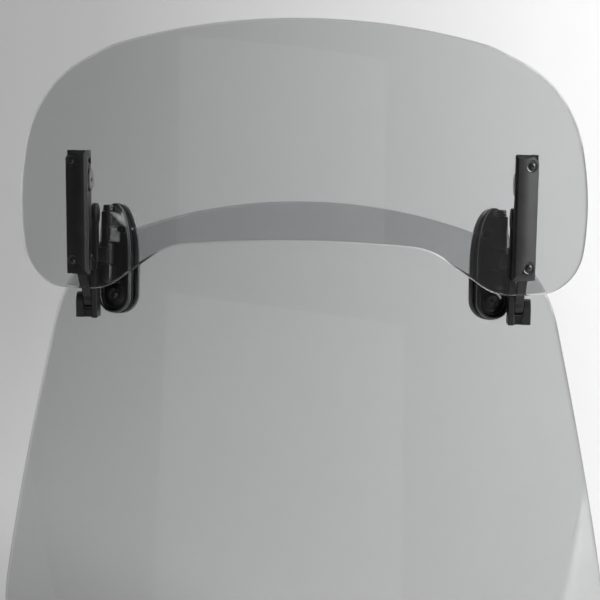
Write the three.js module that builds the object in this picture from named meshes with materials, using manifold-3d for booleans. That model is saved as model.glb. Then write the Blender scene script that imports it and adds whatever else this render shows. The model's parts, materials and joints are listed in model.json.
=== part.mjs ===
// A motorcycle windshield with an adjustable spoiler blade above it.
// A curved acrylic screen carries two mirrored brackets on its upper corners. Each bracket is a
// parallel linkage of two equal levers, and together they hold and raise the smaller blade.
// Millimetres, +Z up, the rider looks along -Y, and the origin is the centre of the four
// fairing fixings on the back of the screen.
//
// Two tilted frames are used. In both of them x is across, z runs up the sheet and the front
// of the sheet faces -y. The screen frame leans back, and the blade frame inside it leans less.
import * as THREE from 'three';
import { mergeVertices } from 'three/addons/utils/BufferGeometryUtils.js';
import Module from 'manifold-3d';

const wasm = await Module();
wasm.setup();

// ---------- driving dimensions ----------
const GAP = 0.3; // running and assembly gap between pieces
const SEGMENTS = 14; // sides of a round piece
const SCREEN_LEAN = 22; // degrees the screen leans back
const BLADE_LEAN = 14; // degrees the blade leans back
const BLADE_ORIGIN = { y: -50.5, z: -14.7 }; // blade frame's origin in the screen frame

const SCREEN = { thickness: 4, radius: 725, flankReach: 232, flankPower: 4 };
// half outline from the top centre to the bottom centre: across, up, corner radius
const SCREEN_CORNERS = [
  [0, 62.1, 320.4],
  [148.9, 6.8, 75.7],
  [208, -225, 68],
  [128, -352, 50],
  [0, -338, 400],
];
const BLADE = { thickness: 3, radius: 460 };
const BLADE_CORNERS = [
  [0, 162.6, 418.2],
  [106.2, 136.1, 54.4],
  [157.5, 112.9, 70.4],
  [169.5, 46.7, 153.9],
  [162.8, -1.5, 27.9],
  [112.6, -2.2, 32],
  [74.3, 24.4, 41.8],
  [0, 31.4, 670.4],
];

const FIXINGS = [
  { name: 'upper', across: 96, up: -262 },
  { name: 'lower', across: 72, up: -322 },
];
const FIXING = { hole: 5.2, shank: 2.4, head: 5.5, headHeight: 3.2, length: 14 };
const FIXING_SOCKET = { radius: 1.9, depth: 1.8 };
const WELL_NUT = { sleeve: 4.8, flange: 8, flangeHeight: 2.5, shoulder: 5.6, length: 12.5 };

const SEAT = { across: 113.7, up: 5.2 }; // centre of a bracket base on the screen
const BASE = { width: 20.2, length: 66.6, back: 1.6, rim: 6.4, crown: 7.2, step: 5 };
const GASKET = { width: 20.8, length: 67.2, thickness: 1 };
const BACKING = { width: 24, length: 67, thickness: 2.5, start: 4.5, margin: 1.9 };
const BASE_SCREWS = [
  { name: 'upper', across: -5.9, up: 17, head: 2, recess: 2.2 },
  { name: 'lower', across: 0, up: -22.6, head: 3.4, recess: 3.9 },
];
const BASE_SCREW = { shank: 1.5, hole: 1.9, sheetHole: 2.4, headTop: 5.6, headBottom: 3.8, tip: 8.6 };
const BASE_SOCKET = { radius: 1.3, depth: 1.3 };
const BARREL = { across: 2, out: 10.6, radius: 3.9, neck: 2.9, pin: 1.7, bore: 2 };
const CAP = { radius: 3.2, height: 3.6 };
const BARREL_ENDS = { top: 27.8, upper: 9, lower: -4.3, bottom: -16 };
const BRIDGE = { start: 115.4, halfDepth: 3.2, bottom: 10.5, top: 19 };

// linkage pivots in the blade frame: y and z of the levers' rear and front ends
const LINK_Y = 50.3;
const RAIL_Y = 32.6;
const LINK_UPPER_Z = 36.5;
const RAIL_UPPER_Z = 60;
const PIVOT_SPACING = 48;
const PIVOT = { pin: 2, bore: 2.3, eye: 5, head: 3, headHeight: 1.8, socket: 1.4 };
const RAIL_PIN = { upperHead: 6.6, lowerHead: 5, headHeight: 1.2, reach: 1 };
const SIDE_PLATE = { start: 121.9, end: 125.1, disc: 6.6, discRise: 2.5, front: 4, back: 2.8 };
const FORK = { innerEnd: 125.3, outer: 131.1, outerEnd: 135.4, front: 5, back: 4.6 };
const FORK_FOOT = { drop: 11.3, height: 5 };
const CHEEK = { front: 8, rise: 18 };
const FORK_EYE = { radius: 4.6, drop: 0.9 };
const FORK_SLOT = { start: 126.4, end: 130.2, depth: 1.6, height: 4 };
const LEVER = { start: 125.6, end: 130.8, web: 3.9, rearEye: 6 };
const WASHER = { radius: 4.6, thickness: 1 };

const RAIL = { start: 122.8, end: 133.6, wall: 2.4, bottom: 6.8, top: 77.1, back: 38, web: 27.2 };
const STRIP = { across: 126.4, width: 13.6, bottom: 6.8, top: 77.1, flange: 2.6, bulge: 4.6 };
const BULGE_WIDTH = 4.6;
const PAD = { width: 10, thickness: 1 };
const STRIP_SCREWS = [
  { name: 'upper', up: 71 },
  { name: 'lower', up: 14.2 },
];
const STRIP_SCREW = { across: 2, shank: 1.4, hole: 1.8, sheetHole: 2.4, head: 3.3, headHeight: 1.7 };
const STRIP_SCREW_LENGTH = 11;
const STRIP_SOCKET = { radius: 1.2, depth: 0.8 };

// ---------- materials ----------
function finish(color, roughness, metalness, opacity = 1) {
  return new THREE.MeshStandardMaterial({ color, roughness, metalness, opacity, transparent: opacity < 1 });
}
const SMOKED_ACRYLIC = finish(0x9a9c9e, 0.04, 0, 0.35);
const BLACK_PLASTIC = finish(0x17181a, 0.5, 0);
const BLACK_STEEL = finish(0x1d1e20, 0.35, 0.9);
const BRIGHT_STEEL = finish(0x9fa1a4, 0.3, 1);
const RUBBER = finish(0x101010, 0.85, 0);

// ---------- solids ----------
function solid(geometry) {
  const bare = geometry.clone();
  bare.deleteAttribute('normal');
  bare.deleteAttribute('uv');
  const merged = mergeVertices(bare, 1e-4);
  const vertProperties = new Float32Array(merged.attributes.position.array);
  const triVerts = new Uint32Array(merged.index.array);
  return new wasm.Manifold(new wasm.Mesh({ numProp: 3, vertProperties, triVerts }));
}

function geometryOf(body) {
  const mesh = body.getMesh();
  const geometry = new THREE.BufferGeometry();
  geometry.setAttribute('position', new THREE.BufferAttribute(mesh.vertProperties, 3));
  geometry.setIndex(new THREE.BufferAttribute(mesh.triVerts, 1));
  return geometry;
}

function joined(...geometries) {
  return geometryOf(geometries.map(solid).reduce((whole, piece) => whole.add(piece)));
}

function cut(geometry, ...tools) {
  return geometryOf(tools.map(solid).reduce((whole, tool) => whole.subtract(tool), solid(geometry)));
}

function mirrored(geometry) {
  const copy = geometry.clone();
  copy.scale(-1, 1, 1);
  const listed = copy.index ? copy.index.array : new Array(copy.attributes.position.count).keys();
  const index = Array.from(listed);
  for (let i = 0; i < index.length; i += 3) {
    [index[i + 1], index[i + 2]] = [index[i + 2], index[i + 1]];
  }
  copy.setIndex(index);
  return copy;
}

function box(x0, x1, y0, y1, z0, z1) {
  const geometry = new THREE.BoxGeometry(x1 - x0, y1 - y0, z1 - z0);
  return geometry.translate((x0 + x1) / 2, (y0 + y1) / 2, (z0 + z1) / 2);
}

// round bar between two values along one axis, centred at (a, b) on the other two
function barX(radius, x0, x1, y, z) {
  const geometry = new THREE.CylinderGeometry(radius, radius, x1 - x0, SEGMENTS);
  return geometry.rotateZ(Math.PI / 2).translate((x0 + x1) / 2, y, z);
}

function barY(radius, y0, y1, x, z) {
  const geometry = new THREE.CylinderGeometry(radius, radius, y1 - y0, SEGMENTS);
  return geometry.translate(x, (y0 + y1) / 2, z);
}

function barZ(radius, z0, z1, x, y) {
  const geometry = new THREE.CylinderGeometry(radius, radius, z1 - z0, SEGMENTS);
  return geometry.rotateX(Math.PI / 2).translate(x, y, (z0 + z1) / 2);
}

// six-sided bar along x, and the tool for a six-sided socket in a face that looks along -y
function hexagonBar(radius, x0, x1, y, z) {
  const geometry = new THREE.CylinderGeometry(radius, radius, x1 - x0, 6);
  return geometry.rotateZ(Math.PI / 2).translate((x0 + x1) / 2, y, z);
}

function socketTool(socket, face, x, z) {
  const geometry = new THREE.CylinderGeometry(socket.radius, socket.radius, socket.depth * 2, 6);
  return geometry.translate(x, -face, z);
}

// turned piece on the -y axis: profile points are [radius, distance forward], front to back
function turned(profile, x, z) {
  const points = profile.map(([radius, forward]) => new THREE.Vector2(radius, forward)).reverse();
  const geometry = new THREE.LatheGeometry(points, SEGMENTS);
  return geometry.rotateX(Math.PI).translate(x, 0, z);
}

// closed shape in the x-y plane from a list of points, pulled up from z0 to z1
function prismZ(points, z0, z1) {
  const shape = new THREE.Shape(points.map(([x, y]) => new THREE.Vector2(x, y)));
  const geometry = new THREE.ExtrudeGeometry(shape, { depth: z1 - z0, bevelEnabled: false });
  return geometry.translate(0, 0, z0);
}

// upright pad facing -y between two distances forward, with a long elliptic upper half and a
// round lower end
function pad(width, length, back, front) {
  const radius = width / 2;
  const shape = new THREE.Shape();
  shape.absellipse(0, 0, radius, length / 2, 0, Math.PI, false, 0);
  shape.absarc(0, radius - length / 2, radius, Math.PI, Math.PI * 2, false);
  const settings = { depth: front - back, bevelEnabled: false, curveSegments: 9 };
  const geometry = new THREE.ExtrudeGeometry(shape, settings);
  return geometry.rotateX(Math.PI / 2).translate(0, -back, 0);
}

// ---------- curved sheets ----------
// A section gives the sheet's place and yaw at a distance across, measured along the sheet.
function bladeSection(across) {
  const yaw = across / BLADE.radius;
  return { x: BLADE.radius * Math.sin(yaw), y: BLADE.radius * (1 - Math.cos(yaw)), yaw };
}

function screenYaw(across) {
  const flank = Math.abs(across / SCREEN.flankReach) ** SCREEN.flankPower;
  return across / SCREEN.radius + Math.sign(across) * flank;
}

function screenSection(across) {
  const steps = Math.max(2, Math.ceil(Math.abs(across) / 2));
  const step = across / steps;
  let x = 0;
  let y = 0;
  for (let i = 0; i < steps; i += 1) {
    const yaw = screenYaw((i + 0.5) * step);
    x += Math.cos(yaw) * step;
    y += Math.sin(yaw) * step;
  }
  return { x, y, yaw: screenYaw(across) };
}

// half outline with round corners: points from the top centre down to the bottom centre
function roundedHalf(corners, arcSteps) {
  const left = corners.slice(1, -1).map(([x, z, radius]) => [-x, z, radius]);
  const ring = [...corners, ...left.reverse()];
  const cornerAt = (i) => new THREE.Vector2(...ring[(i + ring.length) % ring.length].slice(0, 2));
  const points = [];
  ring.forEach(([, , radius], i) => {
    const corner = cornerAt(i);
    const before = cornerAt(i - 1).sub(corner).normalize();
    const after = cornerAt(i + 1).sub(corner).normalize();
    const half = Math.acos(before.dot(after)) / 2;
    const inward = before.clone().add(after).normalize();
    const centre = inward.multiplyScalar(radius / Math.sin(half)).add(corner);
    const angleOf = (side) => side.multiplyScalar(radius / Math.tan(half)).add(corner).sub(centre).angle();
    const [start, end] = [angleOf(before), angleOf(after)];
    const turn = ((end - start + 3 * Math.PI) % (2 * Math.PI)) - Math.PI;
    for (let k = 0; k <= arcSteps; k += 1) {
      const angle = start + (turn * k) / arcSteps;
      points.push([centre.x + radius * Math.cos(angle), centre.y + radius * Math.sin(angle)]);
    }
  });
  return points.filter(([across]) => across >= -1e-6);
}

function heightAt(points, across) {
  for (let i = 1; i < points.length; i += 1) {
    const [a, b] = [points[i - 1], points[i]];
    const low = Math.min(a[0], b[0]);
    const high = Math.max(a[0], b[0]);
    if (across >= low - 1e-9 && across <= high + 1e-9) {
      const part = high - low < 1e-9 ? 0 : (across - a[0]) / (b[0] - a[0]);
      return a[1] + part * (b[1] - a[1]);
    }
  }
  return points[across < points[0][0] ? 0 : points.length - 1][1];
}

// distances across at which the sheet is sectioned, close together where the outline turns
function stations(outline, reach) {
  const all = outline.map(([across]) => across).filter((across) => across < reach - 0.5);
  for (let across = 0; across < reach - 4; across += 9) {
    all.push(across);
  }
  all.sort((a, b) => a - b);
  const kept = all.filter((across, i) => i === 0 || across - all[i - 1] > 0.8);
  const right = [...kept.filter((across) => across > 0.5), reach];
  return [...right.map((across) => -across).reverse(), 0, ...right];
}

function bentSheet(corners, section, thickness) {
  const outline = roundedHalf(corners, 6);
  const reach = Math.max(...outline.map(([across]) => across));
  const widest = outline.findIndex(([across]) => across === reach);
  const upper = outline.slice(0, widest + 1);
  const lower = outline.slice(widest);
  const places = stations(outline, reach);
  const position = [];
  places.forEach((across) => {
    const at = section(across);
    const back = { x: at.x - thickness * Math.sin(at.yaw), y: at.y + thickness * Math.cos(at.yaw) };
    const top = heightAt(upper, Math.abs(across));
    const bottom = Math.abs(across) === reach ? top : heightAt(lower, Math.abs(across));
    position.push(at.x, at.y, top, at.x, at.y, bottom, back.x, back.y, bottom, back.x, back.y, top);
  });
  const index = [];
  const quad = (a, b, c, d) => index.push(a, b, c, a, c, d);
  for (let i = 0; i + 1 < places.length; i += 1) {
    const here = i * 4;
    const next = here + 4;
    for (let side = 0; side < 4; side += 1) {
      const other = (side + 1) % 4;
      quad(here + side, here + other, next + other, next + side);
    }
  }
  const geometry = new THREE.BufferGeometry();
  geometry.setAttribute('position', new THREE.Float32BufferAttribute(position, 3));
  geometry.setIndex(index);
  const merged = mergeVertices(geometry, 1e-4);
  const whole = [];
  for (let i = 0; i < merged.index.count; i += 3) {
    const [a, b, c] = [0, 1, 2].map((k) => merged.index.getX(i + k));
    if (a !== b && b !== c && c !== a) {
      whole.push(a, b, c);
    }
  }
  merged.setIndex(whole);
  return merged;
}

// moves a piece made at the origin, facing -y, onto a sheet's front surface
function onSheet(geometry, section, across, up) {
  const at = section(across);
  return geometry.rotateZ(at.yaw).translate(at.x, at.y, up);
}

// ---------- building the group ----------
const windshieldAssembly = new THREE.Group();
const screenFrame = new THREE.Group();
const bladeFrame = new THREE.Group();
screenFrame.rotation.x = THREE.MathUtils.degToRad(-SCREEN_LEAN);
bladeFrame.rotation.x = THREE.MathUtils.degToRad(SCREEN_LEAN - BLADE_LEAN);
bladeFrame.position.set(0, BLADE_ORIGIN.y, BLADE_ORIGIN.z);
screenFrame.add(bladeFrame);
windshieldAssembly.add(screenFrame);

function add(frame, name, geometry, material) {
  const mesh = new THREE.Mesh(geometry, material);
  mesh.name = name;
  frame.add(mesh);
}

// a piece built for the right side, and its mirror image for the left
function addPair(frame, name, geometry, material) {
  add(frame, `right_${name}`, geometry, material);
  add(frame, `left_${name}`, mirrored(geometry), material);
}

// ---------- main screen and its fixings ----------
function throughSheet(radius, section, across, up) {
  return onSheet(barY(radius, -8, 8 + SCREEN.thickness, 0, 0), section, across, up);
}

function screenSheet() {
  const holes = [];
  for (const side of [-1, 1]) {
    for (const fixing of FIXINGS) {
      holes.push(throughSheet(FIXING.hole, screenSection, side * fixing.across, fixing.up));
    }
  }
  for (const screw of BASE_SCREWS) {
    const hole = seated(barY(BASE_SCREW.sheetHole, -8, 12, screw.across, screw.up));
    holes.push(hole, mirrored(hole));
  }
  return cut(bentSheet(SCREEN_CORNERS, screenSection, SCREEN.thickness), ...holes);
}

function fairingScrew() {
  const { shank, head, headHeight, length } = FIXING;
  const profile = [
    [0, headHeight + GAP],
    [head * 0.55, headHeight + GAP],
    [head * 0.88, headHeight * 0.7 + GAP],
    [head, GAP + 0.4],
    [head, GAP],
    [shank, GAP],
    [shank, -length],
    [0, -length],
  ];
  return cut(turned(profile, 0, 0), socketTool(FIXING_SOCKET, headHeight + GAP, 0, 0));
}

function wellNut() {
  const { sleeve, flange, flangeHeight, shoulder, length } = WELL_NUT;
  const bore = FIXING.shank + GAP;
  const start = -SCREEN.thickness - GAP;
  const profile = [
    [bore, -1],
    [sleeve, -1],
    [sleeve, start],
    [flange, start],
    [flange, start - flangeHeight],
    [shoulder, start - flangeHeight],
    [sleeve, -length],
    [bore, -length],
    [bore, -1],
  ];
  return turned(profile, 0, 0);
}

function addFixings() {
  for (const fixing of FIXINGS) {
    const place = (piece) => onSheet(piece, screenSection, fixing.across, fixing.up);
    addPair(screenFrame, `fairing_screw_${fixing.name}`, place(fairingScrew()), BLACK_STEEL);
    addPair(screenFrame, `well_nut_${fixing.name}`, place(wellNut()), RUBBER);
  }
}

// ---------- bracket pieces clamped to the screen ----------
function seated(geometry) {
  return onSheet(geometry, screenSection, SEAT.across, SEAT.up);
}

function screwHoles(radius, front, back) {
  return BASE_SCREWS.map((screw) => barY(radius, -front, back, screw.across, screw.up));
}

function backingPlate() {
  const { width, length, thickness, start } = BACKING;
  const from = start + GASKET.thickness + GAP;
  const plate = pad(width, length, -from - thickness, -from);
  return seated(cut(plate, ...screwHoles(BASE_SCREW.hole, -from + 1, from + thickness + 1)));
}

function rearGasket() {
  const { width, length, start, margin } = BACKING;
  const seal = pad(width - 2 * margin, length - 2 * margin, -start - GASKET.thickness, -start);
  return seated(cut(seal, ...screwHoles(BASE_SCREW.hole, 0, 8)));
}

function frontGasket() {
  const seal = pad(GASKET.width, GASKET.length, GAP, GAP + GASKET.thickness);
  return seated(cut(seal, ...screwHoles(BASE_SCREW.hole, 3, 0)));
}

function barrelPiece(radius, z0, z1) {
  return barZ(radius, z0, z1, BARREL.across, -BARREL.out);
}

function base() {
  const { width, length, back, rim, crown, step } = BASE;
  const { across, out, neck } = BARREL;
  const lug = (z0, z1) => [
    barrelPiece(BARREL.radius, z0, z1),
    box(across - neck, across + neck, -out, 1 - rim, z0, z1),
  ];
  const body = joined(
    pad(width, length, back, rim),
    pad(width - step, length - step, rim - 1, crown),
    ...lug(BARREL_ENDS.upper, BARREL_ENDS.top),
    ...lug(BARREL_ENDS.bottom, BARREL_ENDS.lower),
  );
  const headSeat = GAP - BASE_SCREW.headBottom;
  const recesses = BASE_SCREWS.map((screw) => barY(screw.recess, -9, headSeat, screw.across, screw.up));
  const pinBore = barrelPiece(BARREL.bore, BARREL_ENDS.bottom - 1, BARREL_ENDS.top + 1);
  const knuckleRoom = barrelPiece(BARREL.radius + GAP, BARREL_ENDS.lower, BARREL_ENDS.upper);
  const capRoom = barrelPiece(BARREL.radius + GAP, BARREL_ENDS.top, BARREL_ENDS.top + length);
  const holes = screwHoles(BASE_SCREW.hole, 9, 0);
  return seated(cut(body, pinBore, knuckleRoom, capRoom, ...recesses, ...holes));
}

function baseScrew(screw) {
  const { shank, headTop, headBottom, tip } = BASE_SCREW;
  const profile = [
    [0, headTop],
    [screw.head * 0.8, headTop],
    [screw.head, headTop - 0.5],
    [screw.head, headBottom],
    [shank, headBottom],
    [shank, -tip],
    [0, -tip],
  ];
  const body = turned(profile, screw.across, screw.up);
  return seated(cut(body, socketTool(BASE_SOCKET, headTop, screw.across, screw.up)));
}

function swivelPin() {
  const { top, bottom } = BARREL_ENDS;
  const pin = barrelPiece(BARREL.pin, bottom - 0.6, top + 2);
  const cap = new THREE.CylinderGeometry(CAP.radius * 0.8, CAP.radius, CAP.height, SEGMENTS);
  cap.rotateX(Math.PI / 2).translate(BARREL.across, -BARREL.out, top + GAP + CAP.height / 2);
  return seated(joined(pin, cap));
}

function addClampedPieces() {
  addPair(screenFrame, 'backing_plate', backingPlate(), BRIGHT_STEEL);
  addPair(screenFrame, 'rear_gasket', rearGasket(), RUBBER);
  addPair(screenFrame, 'front_gasket', frontGasket(), RUBBER);
  addPair(screenFrame, 'base', base(), BLACK_PLASTIC);
  for (const screw of BASE_SCREWS) {
    addPair(screenFrame, `base_screw_${screw.name}`, baseScrew(screw), BLACK_STEEL);
  }
  addPair(screenFrame, 'swivel_pin', swivelPin(), BLACK_STEEL);
}

// ---------- linkage, in the blade frame ----------
const LINK_PIVOTS = { upper: [LINK_Y, LINK_UPPER_Z], lower: [LINK_Y, LINK_UPPER_Z - PIVOT_SPACING] };
const LOWER_BOLT_SEAT = FORK.outerEnd - PIVOT.headHeight - 0.2;
const RAIL_PIVOTS = { upper: [RAIL_Y, RAIL_UPPER_Z], lower: [RAIL_Y, RAIL_UPPER_Z - PIVOT_SPACING] };

// the swivel knuckle belongs to the side link, so it is moved from the screen frame
function inBladeFrame(geometry) {
  const lean = THREE.MathUtils.degToRad(SCREEN_LEAN - BLADE_LEAN);
  return geometry.translate(0, -BLADE_ORIGIN.y, -BLADE_ORIGIN.z).rotateX(-lean);
}

// swivel knuckle, bridge, upper disc, side plate and the fork that holds the lower lever
function sideLink() {
  const { start, end, disc } = SIDE_PLATE;
  const { innerEnd, outer, outerEnd } = FORK;
  const [upperY, upperZ] = LINK_PIVOTS.upper;
  const [lowerY, lowerZ] = LINK_PIVOTS.lower;
  const eyeZ = lowerZ - FORK_EYE.drop;
  const foot = lowerZ - FORK_FOOT.drop;
  const [plateFront, plateBack] = [upperY - SIDE_PLATE.front, upperY + SIDE_PLATE.back];
  const [forkFront, forkBack] = [lowerY - FORK.front, lowerY + FORK.back];
  const [bridgeFront, bridgeBack] = [upperY - BRIDGE.halfDepth, upperY + BRIDGE.halfDepth];
  const { lower, upper } = BARREL_ENDS;
  const knuckle = inBladeFrame(seated(barrelPiece(BARREL.radius, lower + GAP, upper - GAP)));
  const swivelBore = inBladeFrame(seated(barrelPiece(BARREL.bore, lower - 4, upper + 4)));
  const body = joined(
    barX(disc, start, end, upperY, upperZ + SIDE_PLATE.discRise),
    box(start, end, plateFront, plateBack, lowerZ, upperZ + SIDE_PLATE.discRise),
    box(BRIDGE.start, start + 0.5, bridgeFront, bridgeBack, BRIDGE.bottom, BRIDGE.top),
    knuckle,
    box(start, innerEnd, lowerY - CHEEK.front, plateBack, foot, lowerZ + CHEEK.rise),
    barX(FORK_EYE.radius, outer, outerEnd, lowerY, eyeZ),
    box(outer, outerEnd, forkFront, forkBack, foot, eyeZ),
    box(start, outerEnd, forkFront, plateBack, foot, foot + FORK_FOOT.height),
  );
  const slotTop = foot + FORK_SLOT.height;
  const slotBack = forkFront + FORK_SLOT.depth;
  return cut(
    body,
    swivelBore,
    box(FORK_SLOT.start, FORK_SLOT.end, forkFront - 1, slotBack, foot - 1, slotTop),
    barX(PIVOT.bore, start - 1, end + 1, upperY, upperZ),
    barX(PIVOT.bore, start - 1, outerEnd + 1, lowerY, lowerZ),
    barX(PIVOT.head + GAP, LOWER_BOLT_SEAT - GAP, outerEnd + 1, lowerY, lowerZ),
  );
}

function lever(which) {
  const [rearY, rearZ] = LINK_PIVOTS[which];
  const [frontY, frontZ] = RAIL_PIVOTS[which];
  const { start, end, web, rearEye } = LEVER;
  const length = Math.hypot(frontY - rearY, frontZ - rearZ);
  const angle = Math.atan2(frontZ - rearZ, frontY - rearY);
  const bar = box(start, end, 0, length, -web, web).rotateX(angle).translate(0, rearY, rearZ);
  const eyes = [barX(rearEye, start, end, rearY, rearZ), barX(PIVOT.eye, start, end, frontY, frontZ)];
  const bores = [
    barX(PIVOT.bore, start - 1, end + 1, rearY, rearZ),
    barX(PIVOT.bore, start - 1, end + 1, frontY, frontZ),
  ];
  return cut(joined(bar, ...eyes), ...bores);
}

// pin along x from its tip to the seat under its head, with a hexagon socket in the head
function headedPin(head, headHeight, seat, tip, y, z) {
  const outward = Math.sign(seat - tip);
  const face = seat + outward * headHeight;
  const inHead = seat + outward * 0.5;
  const shank = barX(PIVOT.pin, Math.min(tip, inHead), Math.max(tip, inHead), y, z);
  const cap = barX(head, Math.min(seat, face), Math.max(seat, face), y, z);
  return cut(joined(shank, cap), hexagonBar(PIVOT.socket, face - 0.8, face + 0.8, y, z));
}

function addLinkage() {
  addPair(bladeFrame, 'side_link', sideLink(), BLACK_PLASTIC);
  for (const which of ['upper', 'lower']) {
    addPair(bladeFrame, `${which}_lever`, lever(which), BLACK_PLASTIC);
  }
  addUpperPivot(...LINK_PIVOTS.upper);
  addLowerPivot(...LINK_PIVOTS.lower);
}

// the upper bolt screws into the side plate, through a washer and the lever
function addUpperPivot(y, z) {
  const washerStart = LEVER.end + GAP;
  const washerEnd = washerStart + WASHER.thickness;
  const bore = barX(PIVOT.bore, washerStart - 1, washerEnd + 1, y, z);
  const washer = cut(barX(WASHER.radius, washerStart, washerEnd, y, z), bore);
  const tip = SIDE_PLATE.start + 0.4;
  const bolt = headedPin(PIVOT.head, PIVOT.headHeight, washerEnd + GAP, tip, y, z);
  addPair(bladeFrame, 'friction_washer', washer, BRIGHT_STEEL);
  addPair(bladeFrame, 'pivot_bolt_upper', bolt, BLACK_STEEL);
}

// the lower bolt's head is sunk in the outer prong, and its tip is in the inner one
function addLowerPivot(y, z) {
  const tip = SIDE_PLATE.start + 0.4;
  const bolt = headedPin(PIVOT.head, PIVOT.headHeight, LOWER_BOLT_SEAT, tip, y, z);
  addPair(bladeFrame, 'pivot_bolt_lower', bolt, BLACK_STEEL);
}

// ---------- blade, rails and cover strips ----------
const STRIP_SEAT = BLADE.radius * Math.asin(STRIP.across / BLADE.radius);

function onBlade(geometry) {
  return onSheet(geometry, bladeSection, STRIP_SEAT, 0);
}

function bladeSheet() {
  const holes = [];
  for (const screw of STRIP_SCREWS) {
    const hole = onBlade(barY(STRIP_SCREW.sheetHole, -6, 9, STRIP_SCREW.across, screw.up));
    holes.push(hole, mirrored(hole));
  }
  return cut(bentSheet(BLADE_CORNERS, bladeSection, BLADE.thickness), ...holes);
}

function railBracket() {
  const { start, end, wall, bottom, top, back, web } = RAIL;
  const face = bladeSection(STRIP_SEAT);
  const padBack = BLADE.thickness + 2 * GAP + PAD.thickness + GAP;
  const frontAt = (x) => face.y + padBack / Math.cos(face.yaw) + (x - face.x) * Math.tan(face.yaw);
  const section = [
    [start, frontAt(start)],
    [end, frontAt(end)],
    [end, back],
    [end - wall, back],
    [end - wall, web],
    [start + wall, web],
    [start + wall, back],
    [start, back],
  ];
  const pinHole = PIVOT.pin + 0.1;
  const cuts = Object.values(RAIL_PIVOTS).map(([y, z]) => barX(pinHole, start - 1, end + 1, y, z));
  for (const screw of STRIP_SCREWS) {
    cuts.push(onBlade(barY(STRIP_SCREW.hole, 0, 20, STRIP_SCREW.across, screw.up)));
  }
  const chamfer = box(start - 1, end + 1, -6, 6, -6, 6).rotateX(Math.PI / 4);
  cuts.push(chamfer.translate(0, back + 2, bottom - 3));
  return cut(prismZ(section, bottom, top), ...cuts);
}

function railPad() {
  const back = BLADE.thickness + GAP;
  const half = PAD.width / 2;
  const strip = box(-half, half, back, back + PAD.thickness, STRIP.bottom + 2, STRIP.top - 2);
  const holes = STRIP_SCREWS.map((screw) => barY(STRIP_SCREW.hole, 0, 9, STRIP_SCREW.across, screw.up));
  return onBlade(cut(strip, ...holes));
}

function coverStrip() {
  const { width, bottom, top, flange, bulge } = STRIP;
  const half = width / 2;
  const section = [
    [half, -GAP],
    [half, -flange],
    [BULGE_WIDTH - half, -flange],
    [BULGE_WIDTH - half - 0.8, -bulge],
    [1.4 - half, -bulge],
    [-half, 1.6 - bulge],
    [-half, -GAP],
  ];
  const holes = STRIP_SCREWS.map((screw) => barY(STRIP_SCREW.hole, -8, 2, STRIP_SCREW.across, screw.up));
  const chamfer = box(-half - 1, half + 1, -5, 5, -5, 5).rotateX(Math.PI / 4);
  chamfer.translate(0, -bulge - 1.2, bottom - 3.2);
  return onBlade(cut(prismZ(section.reverse(), bottom, top), chamfer, ...holes));
}

function stripScrew(screw) {
  const { across, shank, head, headHeight } = STRIP_SCREW;
  const seat = STRIP.flange + GAP;
  const profile = [
    [0, seat + headHeight],
    [head * 0.6, seat + headHeight],
    [head * 0.92, seat + headHeight * 0.55],
    [head, seat],
    [shank, seat],
    [shank, seat - STRIP_SCREW_LENGTH],
    [0, seat - STRIP_SCREW_LENGTH],
  ];
  const body = turned(profile, across, screw.up);
  return onBlade(cut(body, socketTool(STRIP_SOCKET, seat + headHeight, across, screw.up)));
}

function addBlade() {
  add(bladeFrame, 'spoiler_blade', bladeSheet(), SMOKED_ACRYLIC);
  addPair(bladeFrame, 'rail_bracket', railBracket(), BLACK_PLASTIC);
  addPair(bladeFrame, 'rail_pad', railPad(), RUBBER);
  addPair(bladeFrame, 'cover_strip', coverStrip(), BLACK_PLASTIC);
  for (const screw of STRIP_SCREWS) {
    addPair(bladeFrame, `strip_screw_${screw.name}`, stripScrew(screw), BLACK_STEEL);
  }
  for (const which of ['upper', 'lower']) {
    const [y, z] = RAIL_PIVOTS[which];
    const { headHeight, reach } = RAIL_PIN;
    const head = RAIL_PIN[`${which}Head`];
    const pin = headedPin(head, headHeight, RAIL.start - GAP, RAIL.end + reach, y, z);
    addPair(bladeFrame, `rail_pin_${which}`, pin, BLACK_STEEL);
  }
}

add(screenFrame, 'windshield', screenSheet(), SMOKED_ACRYLIC);
addFixings();
addClampedPieces();
addLinkage();
addBlade();

// the origin is the centre of the four fairing fixings, on the back of the well nuts
const middle = new THREE.Vector3();
for (const fixing of FIXINGS) {
  const at = screenSection(fixing.across);
  const depth = SCREEN.thickness + GAP + WELL_NUT.flangeHeight;
  middle.add(new THREE.Vector3(0, at.y + depth * Math.cos(at.yaw), fixing.up).divideScalar(FIXINGS.length));
}
screenFrame.position.copy(middle.applyEuler(screenFrame.rotation)).negate();

export default windshieldAssembly;
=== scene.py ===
"""The looks of a motorcycle windshield with a height-adjustable spoiler blade.

Two smoked acrylic sheets are joined by two mirrored brackets. The CAD frame gives the pivots, and
every piece here is built in millimetres in one of four local frames: the leaning screen, the
leaning blade, the seat of a bracket on the screen, and the seat of a cover strip on the blade.
In all of them x is across, z runs up the sheet and the front faces -y. Pieces are made for the
right side and mirrored for the left.
"""
import json
import math

import bmesh
import bpy
import numpy as np
from mathutils import Matrix, Vector
from mathutils.geometry import delaunay_2d_cdt


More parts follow.
